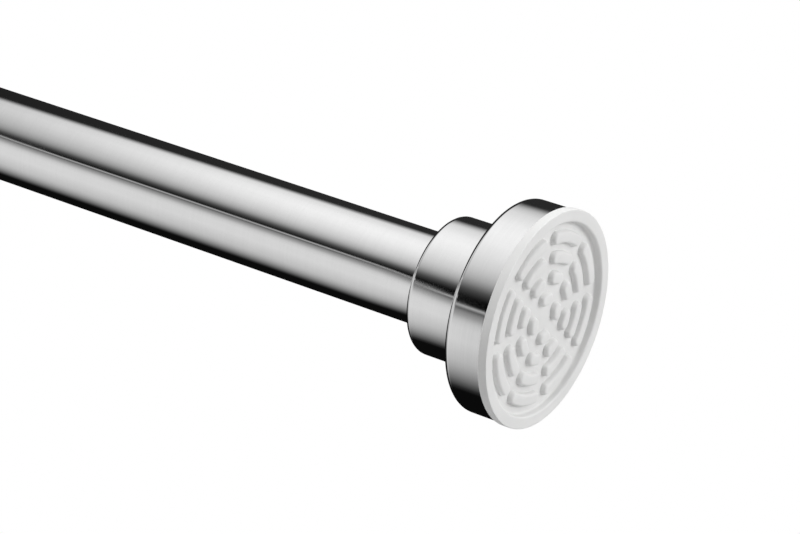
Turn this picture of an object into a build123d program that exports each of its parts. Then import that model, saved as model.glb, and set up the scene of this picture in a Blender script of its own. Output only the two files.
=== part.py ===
from build123d import *
import os
from math import atan, degrees

# Telescoping shower curtain rod, held between two walls by the spring and the screw inside it.
# X runs along the rod towards the near end, Z is up, and the origin is the middle of the closed rod.
# The outer tube belongs to the near end and the inner tube to the far end.
# A depth is a distance along the rod, measured inwards from the wall at its own end.

# Rod
closed_length = 1067.0
outer_tube_radius = 12.7
outer_tube_wall = 0.8
inner_tube_wall = 0.8
tube_gap = 0.8
mouth_gap = 12.0

# Clearances
running_gap = 0.1
open_gap = 0.3
press_gap = 0.05
moulding_gap = 0.15

# Drawn steel end cap, a wide flange with a narrower collar
cap_wall = 0.8
flange_radius = 28.85
flange_length = 10.7
flange_edge_round = 1.4
collar_radius = 18.9
collar_length = 18.5
collar_edge_round = 1.2
collar_root_round = 0.6

# Rubber wall pad with its raised ridges in rings
pad_overhang = 0.45
pad_lip = 2.5
pad_backing = 3.0
rim_width = 3.3
rim_round = 0.5
recess_depth = 2.0
recess_lean = 0.2
ring_count = 4
ring_pitch = 5.45
ridge_width = 3.6
ridge_top_width = 3.0
ridge_height = 1.5
ridge_corner = 1.2
spoke_count = 8
spoke_gap = 2.7
spoke_turn = -4.0
heart_gap = 3.2

# Moulded core inside the cap
core_plate = 3.0
core_rim_wall = 2.2
rib_count = 8
rib_wall = 2.0
rib_bite = 0.6
boss_wall = 2.0

# Bolt that ties an end to its tube, with its washer and lock nut
bolt_radius = 3.0
bolt_head_height = 4.0
bolt_head_flats = 10.0
bolt_head_sink = 0.2
bolt_seat = 2.5
bolt_spare = 2.3
washer_radius = 6.0
washer_height = 1.2
nut_height = 4.5
nut_collar_height = 1.5
nut_collar_radius = 4.6

# Spring between the near core and the near tube
spring_travel = 10.0
travel_spare = 1.0
spring_length = 32.0
spring_wire_radius = 1.0
spring_turns = 6
seat_height = 1.5

# Cup in the near end of the outer tube
cup_flange = 1.0
cup_wall = 1.0
cup_floor = 3.5

# Plug in the far end of the inner tube
far_plug_flange = 1.0
far_plug_web = 4.0
far_plug_skirt = 8.0
far_plug_wall = 2.0

# Sleeve that closes the gap between the tubes at the mouth of the outer tube
mouth_sleeve_length = 25.0
mouth_lip = 2.5
mouth_skirt_length = 6.0
mouth_skirt_wall = 0.6

# Twist lock on the inner end of the inner tube
screw_radius = 4.0
screw_travel = 30.0
screw_spare = 0.8
screw_tip = 2.0
screw_head_flats = 13.0
screw_head_height = 5.3
clip_radius = 6.5
clip_height = 1.2
closed_gap = 3.0
lock_length = 34.0
lock_end_wall = 3.0
lock_bore_small = 6.5
lock_bore_large = 9.2
lock_slot_width = 2.0
lock_slot_length = 26.0
lock_slot_count = 4
lock_ring_width = 1.8
lock_ring_depth = 1.0
lock_ring_inset = 6.0
wedge_length = 18.0
wedge_inset = 4.0
jam_nut_height = 4.0
drive_flange = 5.0
drive_skirt = 16.0
drive_web = 5.0

# Sizes that follow from those above
outer_bore_radius = outer_tube_radius - outer_tube_wall
inner_tube_radius = outer_bore_radius - tube_gap
inner_bore_radius = inner_tube_radius - inner_tube_wall
pad_radius = flange_radius + pad_overhang
pad_plug_radius = flange_radius - cap_wall - running_gap
recess_radius = pad_radius - rim_width
floor_radius = recess_radius - recess_lean
heart_turn = spoke_turn + 360 / spoke_count
ridge_lean = degrees(atan((ridge_width - ridge_top_width) / 2 / ridge_height))
core_radius = flange_radius - cap_wall - moulding_gap
hub_radius = collar_radius - cap_wall - moulding_gap
bolt_pocket_flats = bolt_head_flats + 2 * running_gap
boss_radius = bolt_pocket_flats / 3**0.5 + boss_wall
bolt_hole_radius = bolt_radius + running_gap
screw_hole_radius = screw_radius + running_gap

# Depths from the wall at either end
pad_back = pad_lip + pad_backing
flange_back = pad_lip + flange_length
collar_back = flange_back + collar_length
core_floor = pad_back + core_plate
core_back = flange_back - cap_wall
hub_end = collar_back - cap_wall - open_gap
bolt_seat_depth = pad_back + bolt_head_sink + bolt_head_height
boss_back = bolt_seat_depth + bolt_seat

# Depths from the wall at the near end
cup_front = core_floor + spring_travel + travel_spare
outer_tube_start = cup_front + cup_flange
seat_front = core_floor + spring_length
cup_bottom = seat_front + seat_height
near_washer_depth = cup_bottom + cup_floor
near_bolt_end = near_washer_depth + washer_height + nut_height + nut_collar_height + bolt_spare
screw_end = near_bolt_end + spring_travel + closed_gap
clip_depth = screw_end + screw_tip
lock_start = clip_depth + clip_height + screw_travel + screw_spare
lock_end = lock_start + lock_length
drive_front = lock_end + open_gap
inner_tube_start = drive_front + drive_flange
jam_nut_depth = drive_front + open_gap
drive_web_start = jam_nut_depth + jam_nut_height
drive_web_end = drive_web_start + drive_web
mouth_face = closed_length - collar_back - mouth_gap
outer_tube_end = mouth_face - mouth_lip

# Depths from the wall at the far end
far_plug_front = core_floor
inner_tube_end = far_plug_front + far_plug_flange
far_web_start = boss_back + open_gap
far_washer_depth = far_web_start + far_plug_web
far_plug_back = far_washer_depth + far_plug_skirt
far_bolt_end = far_washer_depth + washer_height + nut_height + nut_collar_height + bolt_spare

NEAR = 1
FAR = -1


def facing_in(side, depth):
    """Plane across the rod whose normal points away from the wall."""
    start = (side * (closed_length / 2 - depth), 0, 0)
    return Plane(origin=start, x_dir=(0, 1, 0), z_dir=(-side, 0, 0))


def facing_wall(side, depth):
    """Plane across the rod whose normal points at the wall."""
    start = (side * (closed_length / 2 - depth), 0, 0)
    return Plane(origin=start, x_dir=(0, 1, 0), z_dir=(side, 0, 0))


def along_rod(side):
    """Plane through the rod's axis, where x is the depth and y is the radius."""
    start = (side * closed_length / 2, 0, 0)
    return Plane(origin=start, x_dir=(-side, 0, 0), z_dir=(0, side, 0))


def towards_wall(side):
    """Axis along the rod that sorts what lies nearest the wall last."""
    return Axis((0, 0, 0), (side, 0, 0))


os.makedirs("parts", exist_ok=True)

# Each end has a pad, a cap, a core and a bolt, made alike and fitted to the tube at that end
ends = (
    ("near", NEAR, outer_tube_radius, near_washer_depth, near_bolt_end),
    ("far", FAR, inner_tube_radius, far_washer_depth, far_bolt_end),
)

for end, side, tube_radius, washer_depth, bolt_end in ends:
    # Rubber pad: a rim round a shallow recess, and a plug that fills the mouth of the cap
    with BuildPart() as pad:
        with BuildSketch(along_rod(side)):
            with BuildLine():
                Polyline(
                    (recess_depth, 0),
                    (recess_depth, floor_radius),
                    (0, recess_radius),
                    (0, pad_radius),
                    (pad_lip, pad_radius),
                    (pad_lip, pad_plug_radius),
                    (pad_back, pad_plug_radius),
                    (pad_back, 0),
                    close=True,
                )
            make_face()
        revolve(axis=Axis.X)
        fillet(pad.edges().group_by(towards_wall(side))[-1], radius=rim_round)
        # Concentric ridges, cut into blocks by straight gaps like the spokes of a wheel
        with BuildSketch(facing_wall(side, recess_depth)):
            for ring in range(ring_count, 0, -1):
                Circle(ring * ring_pitch + ridge_width / 2)
                Circle(ring * ring_pitch - ridge_width / 2, mode=Mode.SUBTRACT)
            with PolarLocations(1.5 * ring_pitch + floor_radius / 2, spoke_count, start_angle=spoke_turn):
                Rectangle(floor_radius, spoke_gap, mode=Mode.SUBTRACT)
            with PolarLocations(ring_pitch, spoke_count // 2, start_angle=heart_turn):
                Rectangle(ridge_width + ring_pitch / 2, heart_gap, mode=Mode.SUBTRACT)
            fillet(vertices(), radius=ridge_corner)
        extrude(amount=ridge_height, taper=ridge_lean)
    pad.part.label = f"{end}_pad"
    export_step(pad.part, f"parts/{end}_pad.step")

    # Drawn cap: a thin shell, open towards the wall and pierced for the tube
    with BuildPart() as cap:
        with BuildSketch(facing_in(side, pad_lip)):
            Circle(flange_radius)
        extrude(amount=flange_length)
        with BuildSketch(facing_in(side, flange_back)):
            Circle(collar_radius)
        extrude(amount=collar_length)
        rings = cap.edges().filter_by(GeomType.CIRCLE).group_by(towards_wall(side))
        fillet(rings[0], radius=collar_edge_round)
        flange_rings = cap.edges().filter_by(GeomType.CIRCLE).group_by(towards_wall(side))[-2]
        fillet(flange_rings.sort_by(SortBy.RADIUS)[-1], radius=flange_edge_round)
        root = cap.edges().filter_by(GeomType.CIRCLE).filter_by_position(
            towards_wall(side),
            closed_length / 2 - flange_back - open_gap,
            closed_length / 2 - flange_back + open_gap,
        )
        fillet(root.sort_by(SortBy.RADIUS)[0], radius=collar_root_round)
        mouth = cap.faces().sort_by(towards_wall(side))[-1]
        offset(amount=-cap_wall, openings=mouth)
        with BuildSketch(facing_in(side, collar_back - collar_length)):
            Circle(tube_radius + open_gap)
        extrude(amount=collar_length, mode=Mode.SUBTRACT)
    cap.part.label = f"{end}_cap"
    export_step(cap.part, f"parts/{end}_cap.step")

    # Moulded core: a plate and a ribbed rim that fill the flange, and a hub that guides the tube
    with BuildPart() as core:
        with BuildSketch(along_rod(side)):
            with BuildLine():
                Polyline(
                    (pad_back, 0),
                    (pad_back, core_radius),
                    (core_back, core_radius),
                    (core_back, core_radius - core_rim_wall),
                    (core_floor, core_radius - core_rim_wall),
                    (core_floor, hub_radius),
                    (hub_end, hub_radius),
                    (hub_end, tube_radius + running_gap),
                    (core_floor, tube_radius + running_gap),
                    (core_floor, boss_radius),
                    (boss_back, boss_radius),
                    (boss_back, 0),
                    close=True,
                )
            make_face()
        revolve(axis=Axis.X)
        core_rings = core.edges().filter_by(GeomType.CIRCLE).sort_by(SortBy.RADIUS)
        fillet(core_rings[-2:].sort_by(towards_wall(side))[0], radius=flange_edge_round)
        rib_length = core_radius - core_rim_wall - hub_radius
        with BuildSketch(facing_in(side, core_floor)):
            with PolarLocations(hub_radius + rib_length / 2, rib_count):
                Rectangle(rib_length + 2 * rib_bite, rib_wall)
        extrude(amount=core_back - core_floor)
        with BuildSketch(facing_in(side, pad_back)):
            RegularPolygon(bolt_pocket_flats / 2, 6, major_radius=False)
        extrude(amount=bolt_seat_depth - pad_back, mode=Mode.SUBTRACT)
        with BuildSketch(facing_in(side, bolt_seat_depth)):
            Circle(bolt_hole_radius)
        extrude(amount=bolt_seat, mode=Mode.SUBTRACT)
    core.part.label = f"{end}_core"
    export_step(core.part, f"parts/{end}_core.step")

    # Hexagon bolt, held from turning by its pocket behind the pad
    with BuildPart() as bolt:
        with BuildSketch(facing_wall(side, bolt_seat_depth)):
            RegularPolygon(bolt_head_flats / 2, 6, major_radius=False)
        extrude(amount=bolt_head_height)
        with BuildSketch(facing_in(side, bolt_seat_depth)):
            Circle(bolt_radius)
        extrude(amount=bolt_end - bolt_seat_depth)
    bolt.part.label = f"{end}_bolt"
    export_step(bolt.part, f"parts/{end}_bolt.step")

    # Washer that bears on the piece held in the tube
    with BuildPart() as washer:
        with BuildSketch(facing_in(side, washer_depth)):
            Circle(washer_radius)
            Circle(bolt_hole_radius, mode=Mode.SUBTRACT)
        extrude(amount=washer_height)
    washer.part.label = f"{end}_washer"
    export_step(washer.part, f"parts/{end}_washer.step")

    # Lock nut with its round locking collar
    with BuildPart() as nut:
        with BuildSketch(facing_in(side, washer_depth + washer_height)):
            RegularPolygon(bolt_head_flats / 2, 6, major_radius=False)
            Circle(bolt_radius + press_gap, mode=Mode.SUBTRACT)
        extrude(amount=nut_height)
        with BuildSketch(facing_in(side, washer_depth + washer_height + nut_height)):
            Circle(nut_collar_radius)
            Circle(bolt_radius + press_gap, mode=Mode.SUBTRACT)
        extrude(amount=nut_collar_height)
    nut.part.label = f"{end}_lock_nut"
    export_step(nut.part, f"parts/{end}_lock_nut.step")

# Compression spring round the bolt, from the floor of the near core to the spring seat
cup_bore_radius = outer_bore_radius - press_gap - cup_wall
spring_radius = cup_bore_radius - open_gap - spring_wire_radius
with BuildPart() as near_spring:
    coil_height = spring_length - 2 * (spring_wire_radius + running_gap)
    coil_start = facing_in(NEAR, core_floor + spring_wire_radius + running_gap)
    with BuildLine() as coil:
        Helix(
            pitch=coil_height / spring_turns,
            height=coil_height,
            radius=spring_radius,
            center=coil_start.origin,
            direction=coil_start.z_dir,
        )
    with BuildSketch(Plane(coil.line @ 0, z_dir=coil.line % 0)):
        Circle(spring_wire_radius)
    sweep(path=coil.line, is_frenet=True)
near_spring.part.label = "near_spring"
export_step(near_spring.part, "parts/near_spring.step")

# Seat that carries the inner end of the spring and slides on the bolt
with BuildPart() as spring_seat:
    with BuildSketch(facing_in(NEAR, seat_front)):
        Circle(cup_bore_radius - open_gap)
        Circle(bolt_hole_radius, mode=Mode.SUBTRACT)
    extrude(amount=seat_height)
spring_seat.part.label = "spring_seat"
export_step(spring_seat.part, "parts/spring_seat.step")

# Cup that hangs in the near end of the outer tube by its flange and takes the push of the spring
with BuildPart() as near_cup:
    with BuildSketch(along_rod(NEAR)):
        with BuildLine():
            Polyline(
                (cup_front, cup_bore_radius),
                (cup_front, outer_tube_radius),
                (outer_tube_start, outer_tube_radius),
                (outer_tube_start, outer_bore_radius - press_gap),
                (near_washer_depth, outer_bore_radius - press_gap),
                (near_washer_depth, bolt_hole_radius),
                (cup_bottom, bolt_hole_radius),
                (cup_bottom, cup_bore_radius),
                close=True,
            )
        make_face()
    revolve(axis=Axis.X)
near_cup.part.label = "near_cup"
export_step(near_cup.part, "parts/near_cup.step")

# Outer tube
with BuildPart() as outer_tube:
    with BuildSketch(facing_in(NEAR, outer_tube_start)):
        Circle(outer_tube_radius)
        Circle(outer_bore_radius, mode=Mode.SUBTRACT)
    extrude(amount=outer_tube_end - outer_tube_start)
outer_tube.part.label = "outer_tube"
export_step(outer_tube.part, "parts/outer_tube.step")

# Sleeve at the mouth of the outer tube: a liner inside, a skirt outside and a lip over the edge
mouth_skirt_radius = outer_tube_radius + press_gap + mouth_skirt_wall
with BuildPart() as mouth_sleeve:
    with BuildSketch(along_rod(NEAR)):
        with BuildLine():
            Polyline(
                (mouth_face, inner_tube_radius + running_gap),
                (mouth_face, mouth_skirt_radius),
                (outer_tube_end - mouth_skirt_length, mouth_skirt_radius),
                (outer_tube_end - mouth_skirt_length, outer_tube_radius + press_gap),
                (outer_tube_end, outer_tube_radius + press_gap),
                (outer_tube_end, outer_bore_radius - press_gap),
                (outer_tube_end - mouth_sleeve_length, outer_bore_radius - press_gap),
                (outer_tube_end - mouth_sleeve_length, inner_tube_radius + running_gap),
                close=True,
            )
        make_face()
    revolve(axis=Axis.X)
    rim_edges = mouth_sleeve.edges().group_by(towards_wall(NEAR))[0]
    fillet(rim_edges.sort_by(SortBy.RADIUS)[-1], radius=mouth_skirt_wall)
mouth_sleeve.part.label = "mouth_sleeve"
export_step(mouth_sleeve.part, "parts/mouth_sleeve.step")

# Inner tube
with BuildPart() as inner_tube:
    with BuildSketch(facing_in(NEAR, inner_tube_start)):
        Circle(inner_tube_radius)
        Circle(inner_bore_radius, mode=Mode.SUBTRACT)
    extrude(amount=closed_length - inner_tube_end - inner_tube_start)
inner_tube.part.label = "inner_tube"
export_step(inner_tube.part, "parts/inner_tube.step")

# Plug in the far end of the inner tube, hollow in front for the core's boss and behind for the nut
far_pocket_radius = inner_bore_radius - press_gap - far_plug_wall
with BuildPart() as far_plug:
    with BuildSketch(along_rod(FAR)):
        with BuildLine():
            Polyline(
                (far_plug_front, boss_radius + open_gap),
                (far_plug_front, inner_tube_radius),
                (inner_tube_end, inner_tube_radius),
                (inner_tube_end, inner_bore_radius - press_gap),
                (far_plug_back, inner_bore_radius - press_gap),
                (far_plug_back, far_pocket_radius),
                (far_washer_depth, far_pocket_radius),
                (far_washer_depth, bolt_hole_radius),
                (far_web_start, bolt_hole_radius),
                (far_web_start, boss_radius + open_gap),
                close=True,
            )
        make_face()
    revolve(axis=Axis.X)
far_plug.part.label = "far_plug"
export_step(far_plug.part, "parts/far_plug.step")

# Drive plug in the inner end of the inner tube: its flange guides the tube, its web holds the screw
drive_back = inner_tube_start + drive_skirt
screw_pocket_radius = screw_head_flats / 3**0.5 + open_gap
with BuildPart() as drive_plug:
    with BuildSketch(along_rod(NEAR)):
        with BuildLine():
            Polyline(
                (drive_front, screw_pocket_radius),
                (drive_front, outer_bore_radius - running_gap),
                (inner_tube_start, outer_bore_radius - running_gap),
                (inner_tube_start, inner_bore_radius - press_gap),
                (drive_back, inner_bore_radius - press_gap),
                (drive_back, screw_pocket_radius),
                (drive_web_end, screw_pocket_radius),
                (drive_web_end, screw_radius + press_gap),
                (drive_web_start, screw_radius + press_gap),
                (drive_web_start, screw_pocket_radius),
                close=True,
            )
        make_face()
    revolve(axis=Axis.X)
drive_plug.part.label = "drive_plug"
export_step(drive_plug.part, "parts/drive_plug.step")

# Tension screw, its head behind the web and its shank running out through the lock
with BuildPart() as tension_screw:
    with BuildSketch(facing_in(NEAR, drive_web_end)):
        RegularPolygon(screw_head_flats / 2, 6, major_radius=False)
    extrude(amount=screw_head_height)
    with BuildSketch(facing_in(NEAR, screw_end)):
        Circle(screw_radius)
    extrude(amount=drive_web_end - screw_end)
tension_screw.part.label = "tension_screw"
export_step(tension_screw.part, "parts/tension_screw.step")

# Jam nut that clamps the web against the head of the screw
with BuildPart() as jam_nut:
    with BuildSketch(facing_in(NEAR, jam_nut_depth)):
        RegularPolygon(screw_head_flats / 2, 6, major_radius=False)
        Circle(screw_radius + press_gap, mode=Mode.SUBTRACT)
    extrude(amount=jam_nut_height)
jam_nut.part.label = "jam_nut"
export_step(jam_nut.part, "parts/jam_nut.step")

# Clip on the tip of the screw that keeps the lock from running off it
with BuildPart() as screw_clip:
    with BuildSketch(facing_in(NEAR, clip_depth)):
        Circle(clip_radius)
        Circle(screw_radius + press_gap, mode=Mode.SUBTRACT)
    extrude(amount=clip_height)
screw_clip.part.label = "screw_clip"
export_step(screw_clip.part, "parts/screw_clip.step")

# Lock sleeve: its bore widens towards the drive plug, and slots let it spread against the outer tube
lock_radius = outer_bore_radius - open_gap
ring_groove_radius = outer_bore_radius - running_gap - lock_ring_depth
ring_groove_depth = lock_end - lock_ring_inset - lock_ring_width
lock_bore_start = lock_start + lock_end_wall
with BuildPart() as lock_sleeve:
    with BuildSketch(along_rod(NEAR)):
        with BuildLine():
            Polyline(
                (lock_start, screw_radius + open_gap),
                (lock_start, lock_radius),
                (ring_groove_depth, lock_radius),
                (ring_groove_depth, ring_groove_radius),
                (ring_groove_depth + lock_ring_width, ring_groove_radius),
                (ring_groove_depth + lock_ring_width, lock_radius),
                (lock_end, lock_radius),
                (lock_end, lock_bore_large),
                (lock_bore_start, lock_bore_small),
                (lock_bore_start, screw_radius + open_gap),
                close=True,
            )
        make_face()
    revolve(axis=Axis.X)
    with BuildSketch(facing_wall(NEAR, lock_end)):
        with PolarLocations(lock_radius, lock_slot_count):
            Rectangle(2 * (lock_radius - screw_radius), lock_slot_width)
    extrude(amount=lock_slot_length, mode=Mode.SUBTRACT)
lock_sleeve.part.label = "lock_sleeve"
export_step(lock_sleeve.part, "parts/lock_sleeve.step")

# Ring in the groove of the lock sleeve, which rubs on the outer tube and draws the sleeve together
with BuildPart() as lock_ring:
    with BuildSketch(facing_in(NEAR, ring_groove_depth + press_gap)):
        Circle(outer_bore_radius - running_gap)
        Circle(ring_groove_radius + press_gap, mode=Mode.SUBTRACT)
    extrude(amount=lock_ring_width - 2 * press_gap)
lock_ring.part.label = "lock_ring"
export_step(lock_ring.part, "parts/lock_ring.step")

# Wedge nut, a cone on the screw that fills the cone of the sleeve
lock_bore_slope = (lock_bore_large - lock_bore_small) / (lock_end - lock_bore_start)
wedge_end = lock_end - wedge_inset
wedge_large = lock_bore_large - running_gap - wedge_inset * lock_bore_slope
wedge_small = wedge_large - wedge_length * lock_bore_slope
with BuildPart() as wedge_nut:
    with BuildSketch(along_rod(NEAR)):
        with BuildLine():
            Polyline(
                (wedge_end - wedge_length, screw_hole_radius),
                (wedge_end - wedge_length, wedge_small),
                (wedge_end, wedge_large),
                (wedge_end, screw_hole_radius),
                close=True,
            )
        make_face()
    revolve(axis=Axis.X)
wedge_nut.part.label = "wedge_nut"
export_step(wedge_nut.part, "parts/wedge_nut.step")
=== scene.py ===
from math import asin, cos, pi, radians, sin, sqrt, tan

import bmesh
import bpy
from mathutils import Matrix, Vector


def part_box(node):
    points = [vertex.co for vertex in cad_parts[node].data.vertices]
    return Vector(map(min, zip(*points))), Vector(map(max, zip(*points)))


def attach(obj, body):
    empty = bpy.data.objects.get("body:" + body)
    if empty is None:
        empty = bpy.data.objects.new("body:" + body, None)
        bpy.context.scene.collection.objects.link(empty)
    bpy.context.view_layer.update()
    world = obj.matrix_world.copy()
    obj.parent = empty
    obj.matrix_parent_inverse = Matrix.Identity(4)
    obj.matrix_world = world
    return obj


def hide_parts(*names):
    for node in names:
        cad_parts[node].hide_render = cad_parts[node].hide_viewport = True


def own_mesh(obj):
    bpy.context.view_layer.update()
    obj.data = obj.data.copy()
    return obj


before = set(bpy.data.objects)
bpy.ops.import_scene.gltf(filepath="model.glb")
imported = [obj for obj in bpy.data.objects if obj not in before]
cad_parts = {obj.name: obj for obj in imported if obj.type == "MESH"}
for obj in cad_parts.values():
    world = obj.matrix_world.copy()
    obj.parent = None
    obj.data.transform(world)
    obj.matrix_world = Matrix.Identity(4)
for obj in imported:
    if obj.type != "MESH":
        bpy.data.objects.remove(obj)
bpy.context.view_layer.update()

# Tubes. Two thin stainless tubes slide one inside the other. Each is rolled from strip, welded
# along its length, polished round and round, and cut square with its edges broken.


def rounded(outline, arc_steps=6, hold=0.0003):
    """Corners (x, radius, round) become points, with a short straight stretch kept beside each arc."""
    points = []
    count = len(outline)
    for i in range(count):
        here = Vector(outline[i][:2])
        size = outline[i][2]
        if size == 0:
            points.append(here)
            continue
        before = (here - Vector(outline[i - 1][:2])).normalized()
        after = (Vector(outline[(i + 1) % count][:2]) - here).normalized()
        turn = before.angle(after)
        reach = size * tan(turn / 2)
        side = 1 if before.x * after.y - before.y * after.x > 0 else -1
        middle = here + (after - before).normalized() * size / cos(turn / 2)
        spoke = here - before * reach - middle
        points.append(here - before * (reach + hold))
        for step in range(arc_steps + 1):
            angle = side * turn * step / arc_steps
            x = spoke.x * cos(angle) - spoke.y * sin(angle)
            y = spoke.x * sin(angle) + spoke.y * cos(angle)
            points.append(middle + Vector((x, y)))
        points.append(here + after * (reach + hold))
    return points


sharp_angle = radians(35)


def finished(mesh, name):
    """A mesh becomes a smooth object whose sharp edges stay sharp."""
    bmesh.ops.recalc_face_normals(mesh, faces=mesh.faces)
    data = bpy.data.meshes.new(name)
    mesh.to_mesh(data)
    mesh.free()
    data.polygons.foreach_set("use_smooth", [True] * len(data.polygons))
    data.set_sharp_from_angle(angle=sharp_angle)
    piece = bpy.data.objects.new(name, data)
    bpy.context.scene.collection.objects.link(piece)
    return piece


on_axis = 1e-6


def turn_outline(mesh, outline, steps=160):
    """A closed outline of (x, radius, round) corners is turned about the rod's axis."""
    rings = []
    for point in rounded(outline):
        if point.y < on_axis:
            rings.append([mesh.verts.new((point.x, 0, 0))])
            continue
        ring = []
        for step in range(steps):
            angle = 2 * pi * step / steps
            ring.append(mesh.verts.new((point.x, point.y * cos(angle), point.y * sin(angle))))
        rings.append(ring)
    for one, two in zip(rings, rings[1:] + rings[:1]):
        for step in range(steps):
            following = (step + 1) % steps
            corners = [one[step % len(one)], one[following % len(one)]]
            corners += [two[following % len(two)], two[step % len(two)]]
            distinct = list(dict.fromkeys(corners))
            if len(distinct) > 2:
                mesh.faces.new(distinct)


def turned(name, outline):
    """A piece of its own, turned from one closed outline."""
    mesh = bmesh.new()
    turn_outline(mesh, outline)
    return finished(mesh, name)


class Shade:
    """One output of a shader's nodes. Sums and products of it add the nodes that work them out."""

    def __init__(self, tree, socket=None):
        self.tree = tree
        self.socket = socket

    def node(self, kind, settings=None, sockets=None, output=0):
        """Any node: its settings are set first, then the values or links of its sockets."""
        made = self.tree.nodes.new(kind)
        for name, value in (settings or {}).items():
            if name == "stops":
                ramp = made.color_ramp
                while len(ramp.elements) < len(value):
                    ramp.elements.new(1.0)
                for stop, (place, colour) in zip(ramp.elements, value):
                    stop.position = place
                    stop.color = colour
            else:
                setattr(made, name, value)
        for name, value in (sockets or {}).items():
            if isinstance(value, Shade):
                self.tree.links.new(value.socket, made.inputs[name])
            else:
                made.inputs[name].default_value = value
        return Shade(self.tree, made.outputs[output] if made.outputs else None)

    def maths(self, operation, *others):
        sockets = {i: value for i, value in enumerate((self,) + others)}
        return self.node("ShaderNodeMath", {"operation": operation}, sockets)

    def __add__(self, other):
        return self.maths("ADD", other)

    def __radd__(self, other):
        return self.maths("ADD", other)

    def __sub__(self, other):
        return self.maths("SUBTRACT", other)

    def __rsub__(self, other):
        return (self * -1.0) + other

    def __mul__(self, other):
        return self.maths("MULTIPLY", other)

    def __rmul__(self, other):
        return self.maths("MULTIPLY", other)

    def __truediv__(self, other):
        return self.maths("DIVIDE", other)

    def between(self, low, high):
        """0 below low, 1 above high and a smooth rise from one to the other."""
        sockets = {"Value": self, "From Min": low, "From Max": high}
        return self.node("ShaderNodeMapRange", {"interpolation_type": "SMOOTHSTEP"}, sockets)

    def mixed(self, one, two):
        """The colour one where this is 0 and two where it is 1."""
        first_colour, second_colour, colour_result = 6, 7, 2
        sockets = {"Factor": self, first_colour: one, second_colour: two}
        return self.node("ShaderNodeMix", {"data_type": "RGBA"}, sockets, output=colour_result)


def grey(level):
    return (level, level, level, 1)


def new_material(name):
    """An empty material, and the start of its nodes."""
    made = bpy.data.materials.new(name)
    made.use_nodes = True
    made.node_tree.nodes.clear()
    return made, Shade(made.node_tree)


def own_place(shade):
    """The piece's own coordinates, which move with it."""
    return shade.node("ShaderNodeTexCoord", output="Object")


def stretched(whole, along, across):
    """Coordinates scaled by one amount along the rod and by another across it."""
    settings = {"operation": "MULTIPLY"}
    return whole.node("ShaderNodeVectorMath", settings, {0: whole, 1: (along, across, across)})


def noise(where, scale, detail=3.0, roughness=0.5):
    sockets = {"Vector": where, "Scale": scale, "Detail": detail, "Roughness": roughness}
    return where.node("ShaderNodeTexNoise", {}, sockets)


def bumped(height, strength, distance):
    sockets = {"Strength": strength, "Distance": distance, "Height": height}
    return height.node("ShaderNodeBump", {}, sockets)


def surfaced(shade, sockets):
    """The material's one surface, from the sockets of its shader."""
    surface = shade.node("ShaderNodeBsdfPrincipled", {}, sockets)
    shade.node("ShaderNodeOutputMaterial", {}, {"Surface": surface})


def polished_steel(name, tone, grain_strength):
    """Stainless steel, buffed round the rod until it mirrors, with fine rings and faint clouds left."""
    made, shade = new_material(name)
    whole = own_place(shade)
    rings = noise(stretched(whole, along=5200, across=60), scale=1.0, detail=4.0, roughness=0.6)
    brushed = noise(stretched(whole, along=1500, across=40), scale=1.0, roughness=0.6)
    clouds = noise(whole, scale=260.0, roughness=0.6)
    handled = noise(stretched(whole, along=1.0, across=3.0), scale=35.0, detail=5.0, roughness=0.7)
    mirror, ring_rough, handled_rough = 0.035, 0.025, 0.04
    rough = mirror + ring_rough * rings + handled_rough * handled.between(0.42, 0.78)
    brush_share, cloud_share = 0.55, 0.45
    worn = brush_share * brushed + cloud_share * clouds
    dull, bright = grey(tone * 0.98), grey(tone * 1.005)
    surfaced(
        shade,
        {
            "Base Color": worn.between(0.35, 0.65).mixed(dull, bright),
            "Metallic": 1.0,
            "Roughness": rough,
            "Normal": bumped(rings, strength=grain_strength, distance=0.00002),
        },
    )
    return made


tube_steel = polished_steel("tube_steel", tone=0.86, grain_strength=0.035)
tube_wall = 0.0008
edge_round = 0.00025

for node, body in (("outer_tube", "outer_tube"), ("inner_tube", "inner_tube")):
    low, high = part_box(node)
    outline = [
        (low.x, high.z - tube_wall, edge_round),
        (low.x, high.z, edge_round),
        (high.x, high.z, edge_round),
        (high.x, high.z - tube_wall, edge_round),
    ]
    tube = turned(f"{node}_polished", outline)
    tube.data.materials.append(tube_steel)
    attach(tube, body)
    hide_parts(node)

# Sleeve at the mouth of the outer tube. It is moulded in grey plastic in one piece: a liner that
# the inner tube runs in, a lip over the cut edge and a short skirt outside the tube.


def moulded(name, colour, roughness, grain=900.0, strength=0.12):
    """Moulded plastic with a fine spark-eroded grain and slight flow marks."""
    made, shade = new_material(name)
    whole = own_place(shade)
    texture = noise(whole, scale=grain, roughness=0.6)
    flow = noise(stretched(whole, along=3.0, across=1.0), scale=60.0, detail=2.0)
    flow_dark, texture_rough = 0.9, 0.1
    dark = tuple(part * flow_dark for part in colour) + (1,)
    tint = flow.between(0.3, 0.7).mixed(dark, tuple(colour) + (1,))
    surfaced(
        shade,
        {
            "Base Color": tint,
            "Roughness": roughness + texture_rough * texture,
            "Normal": bumped(texture, strength, distance=0.00006),
        },
    )
    return made


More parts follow.
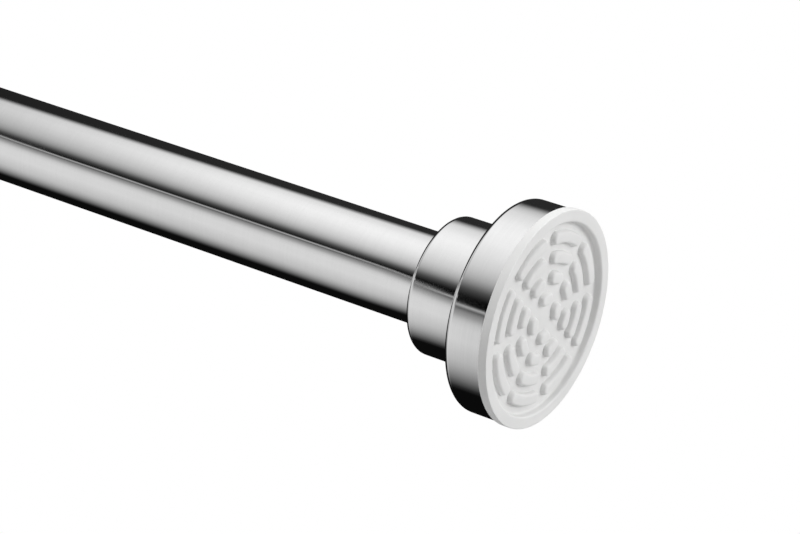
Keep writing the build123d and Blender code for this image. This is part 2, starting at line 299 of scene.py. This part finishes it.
sleeve_plastic = moulded("sleeve_plastic", (0.42, 0.42, 0.43), roughness=0.34)
low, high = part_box("mouth_sleeve")
tube_low, tube_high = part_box("outer_tube")
inner_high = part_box("inner_tube")[1]
skirt_length = 0.006
slide_gap = 0.0001
wall_gap = 0.00005
mouth_round = 0.0006
skirt_round = 0.0002
skirt_end = tube_low.x + skirt_length
bore = inner_high.z + slide_gap
round_tube = tube_high.z + wall_gap
in_tube = tube_high.z - tube_wall - wall_gap
outline = [
    (low.x, bore, skirt_round),
    (low.x, high.z, mouth_round),
    (skirt_end, high.z, skirt_round),
    (skirt_end, round_tube, 0.0),
    (tube_low.x, round_tube, 0.0),
    (tube_low.x, in_tube, 0.0),
    (high.x, in_tube, 0.0),
    (high.x, bore, 0.0),
]
sleeve = turned("mouth_sleeve_moulded", outline)
sleeve.data.materials.append(sleeve_plastic)
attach(sleeve, "outer_tube")
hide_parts("mouth_sleeve")

# End caps. Each is drawn from one stainless disc into a wide flange with a narrower collar behind
# it, pierced for the tube, trimmed at its open lip and buffed to the same shine as the tubes.

cap_steel = polished_steel("cap_steel", tone=0.86, grain_strength=0.05)
cap_wall = 0.0008
flange_length = 0.0107
collar_radius = 0.0189
flange_round = 0.0014
collar_round = 0.0012
root_round = 0.0006
cap_hole_gap = 0.0003
lip_round = 0.0003
cut_round = 0.0002


def placed_at(node, side):
    """Where a piece of either end starts at its wall, where it ends, and how far out it reaches."""
    low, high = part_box(node)
    return (high.x, low.x, high.z) if side > 0 else (low.x, high.x, high.z)


for end, side, tube in (("near", 1, "outer_tube"), ("far", -1, "inner_tube")):
    lip, back, flange_radius = placed_at(f"{end}_cap", side)
    step = lip - side * flange_length
    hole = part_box(tube)[1].z + cap_hole_gap
    outline = [
        (lip, flange_radius - cap_wall, cut_round),
        (lip, flange_radius, lip_round),
        (step, flange_radius, flange_round),
        (step, collar_radius, root_round),
        (back, collar_radius, collar_round),
        (back, hole, cut_round),
        (back + side * cap_wall, hole, cut_round),
        (back + side * cap_wall, collar_radius - cap_wall, collar_round - cap_wall),
        (step + side * cap_wall, collar_radius - cap_wall, root_round + cap_wall),
        (step + side * cap_wall, flange_radius - cap_wall, flange_round - cap_wall),
    ]
    cap = turned(f"{end}_cap_drawn", outline)
    cap.data.materials.append(cap_steel)
    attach(cap, f"{end}_end")
    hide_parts(f"{end}_cap")

# Wall pads. Each is moulded in soft white rubber: a rim round a shallow recess, four rings of
# raised blocks with round shoulders that grip the tile, and a plug pressed into the cap.


def white_rubber():
    """Matt white rubber with the faint grain of its mould and broad, barely seen clouds."""
    made, shade = new_material("white_rubber")
    whole = own_place(shade)
    fine = noise(whole, scale=1400.0, roughness=0.6)
    broad = noise(whole, scale=70.0)
    shaded, clean = (0.775, 0.775, 0.77, 1), (0.81, 0.81, 0.805, 1)
    matt, grain_rough = 0.5, 0.15
    surfaced(
        shade,
        {
            "Base Color": broad.between(0.3, 0.7).mixed(shaded, clean),
            "Roughness": matt + grain_rough * fine,
            "Specular IOR Level": 0.35,
            "Normal": bumped(fine, strength=0.1, distance=0.00005),
        },
    )
    return made


pad_rubber = white_rubber()
rim_width = 0.0033
recess_depth = 0.002
recess_lean = 0.0002
rim_round = 0.0005
rim_edge_round = 0.00025
floor_round = 0.0006
pad_lip = 0.0025
pad_lip_round = 0.0002
plug_round = 0.0003
cap_fit = 0.0001
ring_count = 4
ring_pitch = 0.00545
spoke_count = 8
spoke_turn = radians(-4.0)
ridge_width = 0.0036
ridge_height = 0.0015
ridge_corner = 0.0016
corner_steps = 7
arc_step = 0.0006
spoke_gap = 0.0027
heart_gap = 0.0032
# Distance in from a block's foot, and the share of its height it has risen to there
shoulder = (
    (0.0, -0.13),
    (0.0, 0.0),
    (0.00005, 0.2),
    (0.00012, 0.44),
    (0.0002, 0.64),
    (0.00032, 0.81),
    (0.00048, 0.92),
    (0.0007, 0.98),
    (0.00095, 1.0),
)


def half_plan(radius, half_angle, gap):
    """Half of a block's foot beside the lane that runs along x, as (place, outward direction)."""
    inner = radius - ridge_width / 2
    outer = radius + ridge_width / 2
    rise = gap / 2 + ridge_corner
    inner_middle = Vector((sqrt((inner + ridge_corner) ** 2 - rise**2), rise))
    outer_middle = Vector((sqrt((outer - ridge_corner) ** 2 - rise**2), rise))
    first = asin(rise / (inner + ridge_corner))
    last = asin(rise / (outer - ridge_corner))
    plan = []
    inner_steps = max(int(inner * (half_angle - first) / arc_step), 2)
    for i in range(inner_steps):
        angle = half_angle + (first - half_angle) * i / inner_steps
        away = Vector((cos(angle), sin(angle)))
        plan.append((away * inner, -away))
    corners = ((inner_middle, first + pi, 1.5 * pi), (outer_middle, -0.5 * pi, last))
    for middle, start, stop in corners:
        for i in range(corner_steps + 1):
            angle = start + (stop - start) * i / corner_steps
            away = Vector((cos(angle), sin(angle)))
            plan.append((middle + away * ridge_corner, away))
    outer_steps = max(int(outer * (half_angle - last) / arc_step), 2)
    for i in range(1, outer_steps + 1):
        angle = last + (half_angle - last) * i / outer_steps
        away = Vector((cos(angle), sin(angle)))
        plan.append((away * outer, away))
    return plan


def turned_by(place, angle):
    x = place.x * cos(angle) - place.y * sin(angle)
    y = place.x * sin(angle) + place.y * cos(angle)
    return Vector((x, y))


def block(mesh, floor_x, side, radius, start, end, gap):
    """One raised block of a ring, between the lanes at two angles."""
    near_half = half_plan(radius, (end - start) / 2, gap)
    far_half = [(Vector((p.x, -p.y)), Vector((n.x, -n.y))) for p, n in reversed(near_half[1:-1])]
    foot = [(turned_by(p, start), turned_by(n, start)) for p, n in near_half]
    foot += [(turned_by(p, end), turned_by(n, end)) for p, n in far_half]
    loops = []
    for reach, share in shoulder:
        height = floor_x + side * ridge_height * share
        loops.append([mesh.verts.new((height, *(p - n * reach))) for p, n in foot])
    for one, two in zip(loops, loops[1:]):
        for i in range(len(foot)):
            following = (i + 1) % len(foot)
            mesh.faces.new((one[i], one[following], two[following], two[i]))
    mesh.faces.new(loops[-1])
    mesh.faces.new(loops[0])


for end, side in (("near", 1), ("far", -1)):
    wall, back, pad_radius = placed_at(f"{end}_pad", side)
    plug_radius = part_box(f"{end}_cap")[1].z - cap_wall - cap_fit
    floor_radius = pad_radius - rim_width - recess_lean
    floor_x = wall - side * recess_depth
    lip = wall - side * pad_lip
    outline = [
        (floor_x, 0.0, 0.0),
        (floor_x, floor_radius, floor_round),
        (wall, pad_radius - rim_width, rim_round),
        (wall, pad_radius, rim_edge_round),
        (lip, pad_radius, pad_lip_round),
        (lip, plug_radius, 0.0),
        (back, plug_radius, plug_round),
        (back, 0.0, 0.0),
    ]
    mesh = bmesh.new()
    turn_outline(mesh, outline)
    for ring in range(1, ring_count + 1):
        lanes = spoke_count if ring > 1 else spoke_count // 2
        turn = 2 * pi / lanes
        shift = 0.0 if ring > 1 else turn / 2
        gap = spoke_gap if ring > 1 else heart_gap
        for lane in range(lanes):
            start = lane * turn + shift + spoke_turn
            block(mesh, floor_x, side, ring * ring_pitch, start, start + turn, gap)
    pad = finished(mesh, f"{end}_pad_moulded")
    pad.data.materials.append(pad_rubber)
    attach(pad, f"{end}_end")
    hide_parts(f"{end}_pad")


# Hidden mouldings. The cores are ribbed polypropylene, pushed into the caps. The cup and the two
# plugs are natural nylon, pressed into the tubes, and the lock sleeve is black glass-filled nylon
# with a rubber ring in its groove.


def dress(material, *nodes):
    """A CAD piece keeps its shape and takes a material."""
    for node in nodes:
        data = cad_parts[node].data
        data.materials.clear()
        data.materials.append(material)


dress(moulded("core_plastic", (0.6, 0.6, 0.57), roughness=0.45), "near_core", "far_core")
dress(moulded("nylon", (0.74, 0.73, 0.68), roughness=0.35), "near_cup", "far_plug", "drive_plug")
lock_plastic = moulded("lock_plastic", (0.03, 0.03, 0.032), roughness=0.4, grain=1600.0, strength=0.3)
dress(lock_plastic, "lock_sleeve")
dress(moulded("ring_rubber", (0.02, 0.02, 0.02), roughness=0.65), "lock_ring")

# Fasteners. Bolts, nuts, washers and the seat of the spring are zinc plated steel, and the conical
# nut is turned from brass. Their threads show as ridges that wind round the shanks.


def parts(where):
    """Coordinates taken apart into x, y and z."""
    return [where.node("ShaderNodeSeparateXYZ", {}, {0: where}, output=axis) for axis in "XYZ"]


def plated_steel(name, pitch, shank_radius):
    """Zinc plate with a faint spangle, and the ridges of a thread wherever the shank's skin is."""
    made, shade = new_material(name)
    whole = own_place(shade)
    x, y, z = parts(whole)
    spangle = noise(whole, scale=700.0, detail=2.0)
    distance = (y * y + z * z).maths("SQRT")
    on_shank = 1.0 - distance.between(shank_radius * 1.02, shank_radius * 1.06)
    turns = x / pitch + z.maths("ARCTAN2", y) / (2 * pi)
    thread = turns.maths("PINGPONG", 0.5) * on_shank
    spangle_height, even, spangle_rough = 0.04, 0.28, 0.14
    height = thread + spangle_height * spangle
    dull, bright = (0.52, 0.53, 0.55, 1), (0.66, 0.67, 0.69, 1)
    surfaced(
        shade,
        {
            "Base Color": spangle.between(0.3, 0.7).mixed(dull, bright),
            "Metallic": 1.0,
            "Roughness": even + spangle_rough * spangle,
            "Normal": bumped(height, strength=0.7, distance=pitch * 0.5),
        },
    )
    return made


bolt_steel = plated_steel("bolt_steel", pitch=0.001, shank_radius=0.003)
screw_steel = plated_steel("screw_steel", pitch=0.005, shank_radius=0.004)
for end in ("near", "far"):
    dress(bolt_steel, f"{end}_bolt", f"{end}_washer", f"{end}_lock_nut")
dress(screw_steel, "tension_screw", "jam_nut", "screw_clip")
dress(bolt_steel, "spring_seat")


def turned_brass():
    """Brass with the fine rings that the lathe's tool leaves."""
    made, shade = new_material("nut_brass")
    rings = noise(stretched(own_place(shade), along=6000, across=40), scale=1.0)
    dull, bright = (0.62, 0.44, 0.16, 1), (0.74, 0.55, 0.23, 1)
    even, ring_rough = 0.22, 0.15
    surfaced(
        shade,
        {
            "Base Color": rings.between(0.3, 0.7).mixed(dull, bright),
            "Metallic": 1.0,
            "Roughness": even + ring_rough * rings,
            "Normal": bumped(rings, strength=0.2, distance=0.00004),
        },
    )
    return made


dress(turned_brass(), "wedge_nut")

# Spring of the near end. It is wound from bright drawn wire in open turns round the bolt, and stands
# between the floor of the core and its seat at one fixed length.

wire_radius = 0.001
wire_sides = 14
spring_turns = 6
turn_steps = 48
low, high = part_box("near_spring")
coil_radius = high.z - wire_radius
rise = (high.x - low.x - 2 * wire_radius) / (spring_turns * turn_steps)
step_round = 2 * pi * coil_radius / turn_steps
mesh = bmesh.new()
rings = []
for i in range(spring_turns * turn_steps + 1):
    angle = 2 * pi * i / turn_steps
    outward = Vector((0, cos(angle), sin(angle)))
    along = Vector((rise, -step_round * sin(angle), step_round * cos(angle))).normalized()
    across = along.cross(outward)
    middle = outward * coil_radius + Vector((low.x + wire_radius + rise * i, 0, 0))
    ring = []
    for k in range(wire_sides):
        lean = 2 * pi * k / wire_sides
        skin = (outward * cos(lean) + across * sin(lean)) * wire_radius
        ring.append(mesh.verts.new(middle + skin))
    rings.append(ring)
for one, two in zip(rings, rings[1:]):
    for k in range(wire_sides):
        following = (k + 1) % wire_sides
        mesh.faces.new((one[k], one[following], two[following], two[k]))
mesh.faces.new(rings[0])
mesh.faces.new(rings[-1])
spring = finished(mesh, "near_spring_wound")
spring.data.materials.append(polished_steel("spring_steel", tone=0.55, grain_strength=0.1))
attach(spring, "near_end")
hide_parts("near_spring")
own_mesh(spring)

# Studio. A long soft box hangs over the rod and a pale table stands in front of it, with dark room
# between and behind them, so that each round piece shows bright bands with dark edges. Past the rod
# the camera sees plain white.

turn_start = radians(34.2)
# Share of a turn round the rod, from turn_start below its back, and the level of the light there
soft_box_levels = (
    (0.10, 0.62),
    (0.18, 0.66),
    (0.20, 0.80),
    (0.22, 0.86),
    (0.26, 0.99),
    (0.30, 1.03),
    (0.34, 0.98),
    (0.38, 0.87),
    (0.42, 0.71),
    (0.44, 0.58),
    (0.455, 0.46),
    (0.47, 0.29),
    (0.48, 0.165),
    (0.49, 0.075),
    (0.50, 0.035),
    (0.51, 0.008),
    (0.518, 0.0),
)
table_levels = (
    (0.515, 0.002),
    (0.5175, 0.48),
    (0.5225, 0.48),
    (0.5245, 0.09),
    (0.5285, 0.11),
    (0.534, 0.24),
    (0.55, 0.42),
    (0.56, 0.58),
    (0.57, 0.68),
    (0.59, 0.76),
    (0.64, 0.77),
    (0.68, 0.69),
    (0.72, 0.60),
    (0.74, 0.51),
    (0.76, 0.39),
    (0.78, 0.255),
    (0.80, 0.13),
    (0.82, 0.03),
    (0.835, 0.004),
)
box_edge = (0.142, 0.194)
box_edge_slant = 0.47
box_edge_shift = 0.49
dark_room = 0.022
far_part_dim = 0.5
cap_band_shift = 0.02
far_band_shift = 0.06
cap_table_dim = 0.13
near_end_dim = 0.6
far_end_level = 0.8


def graded(levels, where):
    """A ramp of greys: the light's level at each share of the turn."""
    stops = [(share, grey(level)) for share, level in levels]
    return where.node("ShaderNodeValToRGB", {"stops": stops}, {0: where})


def studio_world():
    """Light by its direction: its share of a turn round the rod, and its lean along the rod, x."""
    world = bpy.data.worlds.new("studio")
    bpy.context.scene.world = world
    world.use_nodes = True
    world.node_tree.nodes.clear()
    shade = Shade(world.node_tree)
    x, y, z = parts(shade.node("ShaderNodeTexCoord", output="Generated"))
    share = ((z.maths("ARCTAN2", y) + turn_start) / (2 * pi)).maths("FRACT")

    # The box's back edge hangs at a slant, and the far part of the tube mirrors a dimmer part of it
    in_box = (share + box_edge_slant * (x + box_edge_shift)).between(*box_edge)
    far_part = (-0.51 - x).between(0.0, 0.2) * x.between(-0.8, -0.66)
    box = in_box.mixed(grey(dark_room), graded(soft_box_levels, share))
    box = box * (1.0 - far_part_dim * far_part)

    # The table's bands lie closer together on the caps than on the tube, and higher far along it
    on_cap = cap_band_shift * x.between(-0.51, -0.48)
    far_along = far_band_shift * (-1.0 * x).between(0.61, 0.7)
    shifted = share + far_along - on_cap * (1.0 - 2.0 * share.between(0.55, 0.72))
    table = graded(table_levels, shifted) * (1.0 - cap_table_dim * x.between(-0.485, -0.468))

    # Past the near end the room is dimmer for matt surfaces alone, and past the far end for all
    matt = 1.0 - shade.node("ShaderNodeLightPath", output="Is Glossy Ray")
    past_near_end = x.between(0.0, 0.35) * matt
    room = (box + table) * (1.0 - near_end_dim * past_near_end)
    lit = (far_end_level + (1.0 - far_end_level) * x.between(-0.86, -0.66)) * room

    seen = shade.node("ShaderNodeLightPath", output="Is Camera Ray")
    shown = seen.mixed(lit, grey(1.0))
    surface = shade.node("ShaderNodeBackground", {}, {"Color": shown, "Strength": 1.0})
    shade.node("ShaderNodeOutputWorld", {}, {"Surface": surface})


studio_world()

# Lamps. Two soft boxes stand off each end, one beyond it and one above it, and light its matt pad.
# The polished steel doesn't mirror them, because it has the soft box and the table for that.

lamp_height = 1.0


def soft_box(name, face, offset, width, power):
    """A lamp that stands off the face of a pad and points at it."""
    lamp = bpy.data.lights.new(name, "AREA")
    lamp.shape = "RECTANGLE"
    lamp.size = width
    lamp.size_y = lamp_height
    lamp.energy = power
    place = face + Vector(offset)
    made = bpy.data.objects.new(name, lamp)
    made.location = place
    made.rotation_euler = (face - place).to_track_quat("-Z", "Y").to_euler()
    made.visible_glossy = False
    bpy.context.scene.collection.objects.link(made)


near_face = Vector((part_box("near_pad")[1].x, 0, 0))
far_face = Vector((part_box("far_pad")[0].x, 0, 0))
soft_box("side_box", near_face, (1.2, 0.5, 0.5), width=1.0, power=13.8)
soft_box("top_box", near_face, (-0.3, -0.3, 1.3), width=1.4, power=8.6)
soft_box("far_side_box", far_face, (-1.2, 0.5, 0.5), width=1.0, power=9.0)
soft_box("far_top_box", far_face, (-0.6, 0.4, 1.1), width=1.0, power=3.0)

# Floor. A broad board painted a pale grey lies well below the rod, which the photograph shows
# free in the air. The camera sees it as plain white.


def floor_paint():
    """Pale matt paint for the light that the floor throws back, and white for the camera."""
    made, shade = new_material("floor_paint")
    mottle = noise(own_place(shade), scale=3.0, detail=2.0)
    colour = mottle.mixed(grey(0.78), grey(0.8))
    matt = shade.node("ShaderNodeBsdfDiffuse", {}, {"Color": colour})
    white = shade.node("ShaderNodeEmission", {}, {"Color": grey(1.0), "Strength": 1.0})
    seen = shade.node("ShaderNodeLightPath", output="Is Camera Ray")
    surface = shade.node("ShaderNodeMixShader", {}, {0: seen, 1: matt, 2: white})
    shade.node("ShaderNodeOutputMaterial", {}, {"Surface": surface})
    return made


floor_drop = 0.9
floor_reach = 4.0
mesh = bmesh.new()
bmesh.ops.create_grid(mesh, x_segments=2, y_segments=2, size=floor_reach)
floor = finished(mesh, "floor")
floor.location = (0, 0, -floor_drop)
floor.data.materials.append(floor_paint())
floor.visible_glossy = False

# Camera. It stands beyond the near end and above it, and looks back along the rod with a long lens.
# Its place and angle are fitted to the outlines of the pad, the cap and the tube in the photograph.

picture_width = 800
picture_height = 534
focal_pixels = 2761.6
pad_pixel = (549.0, 320.1)
eye_distance = 0.7043
elevation = radians(29.08)
azimuth = radians(34.95)

forward = Vector((-sin(azimuth) * cos(elevation), cos(azimuth) * cos(elevation), -sin(elevation)))
right = Vector((cos(azimuth), sin(azimuth), 0))
upward = right.cross(forward)
offset_right = (pad_pixel[0] - picture_width / 2) / focal_pixels * eye_distance
offset_down = (pad_pixel[1] - picture_height / 2) / focal_pixels * eye_distance
eye = near_face - forward * eye_distance - right * offset_right + upward * offset_down

lens = bpy.data.cameras.new("camera")
lens.sensor_width = 36.0
lens.lens = focal_pixels * lens.sensor_width / picture_width
lens.clip_start = 0.01
lens.dof.use_dof = False
camera = bpy.data.objects.new("camera", lens)
camera.location = eye
camera.rotation_euler = forward.to_track_quat("-Z", "Y").to_euler()
bpy.context.scene.collection.objects.link(camera)
bpy.context.scene.camera = camera
bpy.context.scene.view_settings.view_transform = "Standard"
